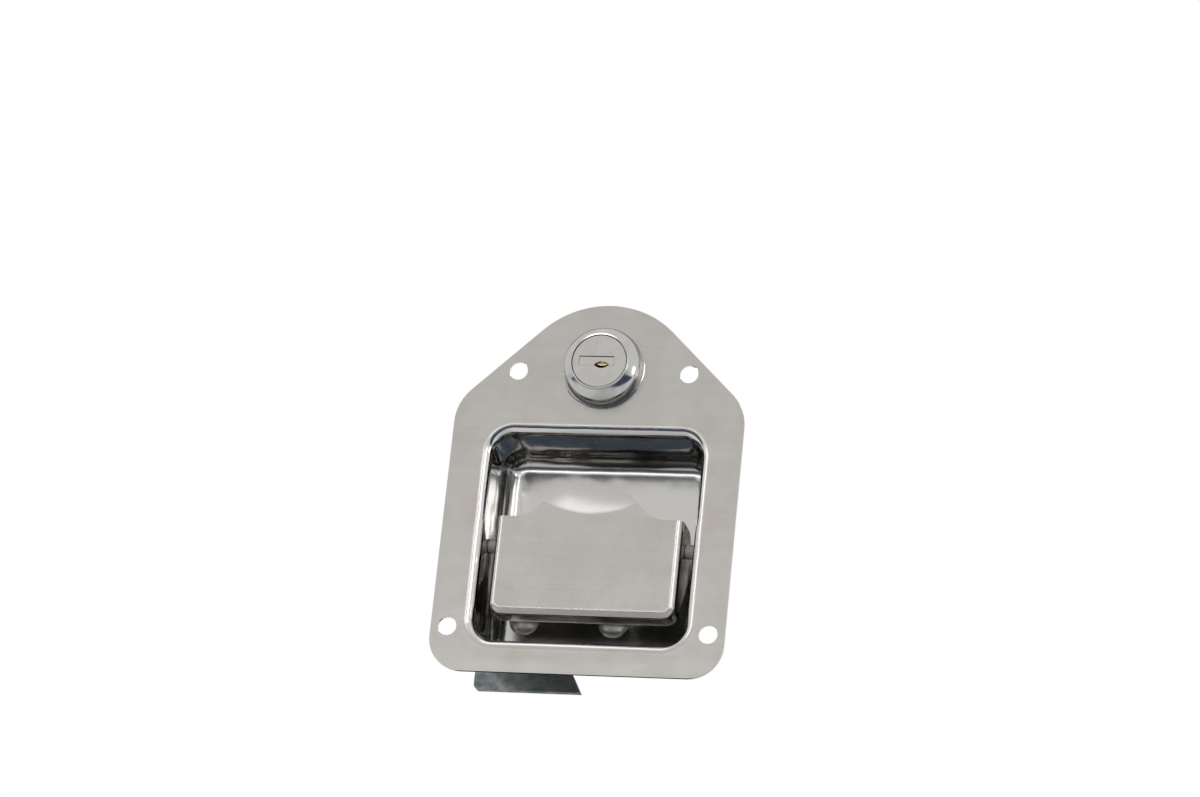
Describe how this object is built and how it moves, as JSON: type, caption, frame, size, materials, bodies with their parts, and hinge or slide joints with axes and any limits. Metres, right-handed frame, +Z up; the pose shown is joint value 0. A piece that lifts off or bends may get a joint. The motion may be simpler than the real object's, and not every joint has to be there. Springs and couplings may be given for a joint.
{
  "type": "recessed paddle latch",
  "caption": "Recessed pull-paddle latch with a round-topped plate, drawn pan, hooked catch behind it and a key lock above the pan.",
  "frame": {"origin": "centre of the pan's opening, on the mounting plane, which is the back face of the plate's rim", "axes": "+Z up towards the lock, +X to the right seen from the front, +Y from the front to the back"},
  "size_m": [0.111, 0.0492, 0.145],
  "materials": {
    "stainless": "satin stainless sheet",
    "chrome": "polished plating",
    "plug": "satin nickel plating",
    "zinc": "zinc plated, mottled",
    "spring": "drawn spring wire",
    "brass": "plain brass",
    "nylon": "black moulded"
  },
  "bodies": {
    "frame": {"pan_plate": "stainless", "hinge_pin": "stainless", "pin_clip": "spring", "hinge_bushes": "nylon", "paddle_spring": "spring", "catch_pivot_rivet": "stainless", "keeper_rivet": "stainless", "keeper_spacer": "zinc", "keeper_strap": "zinc", "catch_spring": "spring", "lock_housing": "chrome", "lock_washer": "zinc", "lock_nut": "zinc"},
    "paddle": {"paddle": "stainless", "push_arm": "zinc"},
    "catch": {"catch_plate": "zinc"},
    "plug": {"lock_plug": "plug", "lock_wafers": "brass", "lock_cam": "zinc", "cam_washer": "zinc", "cam_screw": "zinc"},
    "shutter": {"dust_shutter": "plug"}
  },
  "joints": [
    {"name": "paddle_hinge", "type": "hinge", "parent": "frame", "child": "paddle", "pos_m": [0, 0.0108, -0.001], "axis": [1, 0, 0], "range_deg": [0, 27], "stiffness_Nm_per_rad": 0.15, "springref_deg": -34.38, "deforming": ["paddle_spring"]},
    {"name": "catch_pivot", "type": "hinge", "parent": "frame", "child": "catch", "pos_m": [-0.0273, 0.0298, -0.0245], "axis": [0, -1, 0], "range_deg": [0, 18.9], "stiffness_Nm_per_rad": 0.1, "springref_deg": -28.65, "deforming": ["catch_spring"]},
    {"name": "plug_turn", "type": "hinge", "parent": "frame", "child": "plug", "pos_m": [0, 0, 0.0662], "axis": [0, 1, 0], "range_deg": [0, 90]},
    {"name": "shutter_hinge", "type": "hinge", "parent": "plug", "child": "shutter", "pos_m": [0, -0.0095, 0.06765], "axis": [1, 0, 0], "range_deg": [0, 70], "stiffness_Nm_per_rad": 0.0005, "springref_deg": -28.65}
  ],
  "couplings": [
    {"joint": "catch_pivot", "follows": "paddle_hinge", "ratio": 0.699}
  ]
}
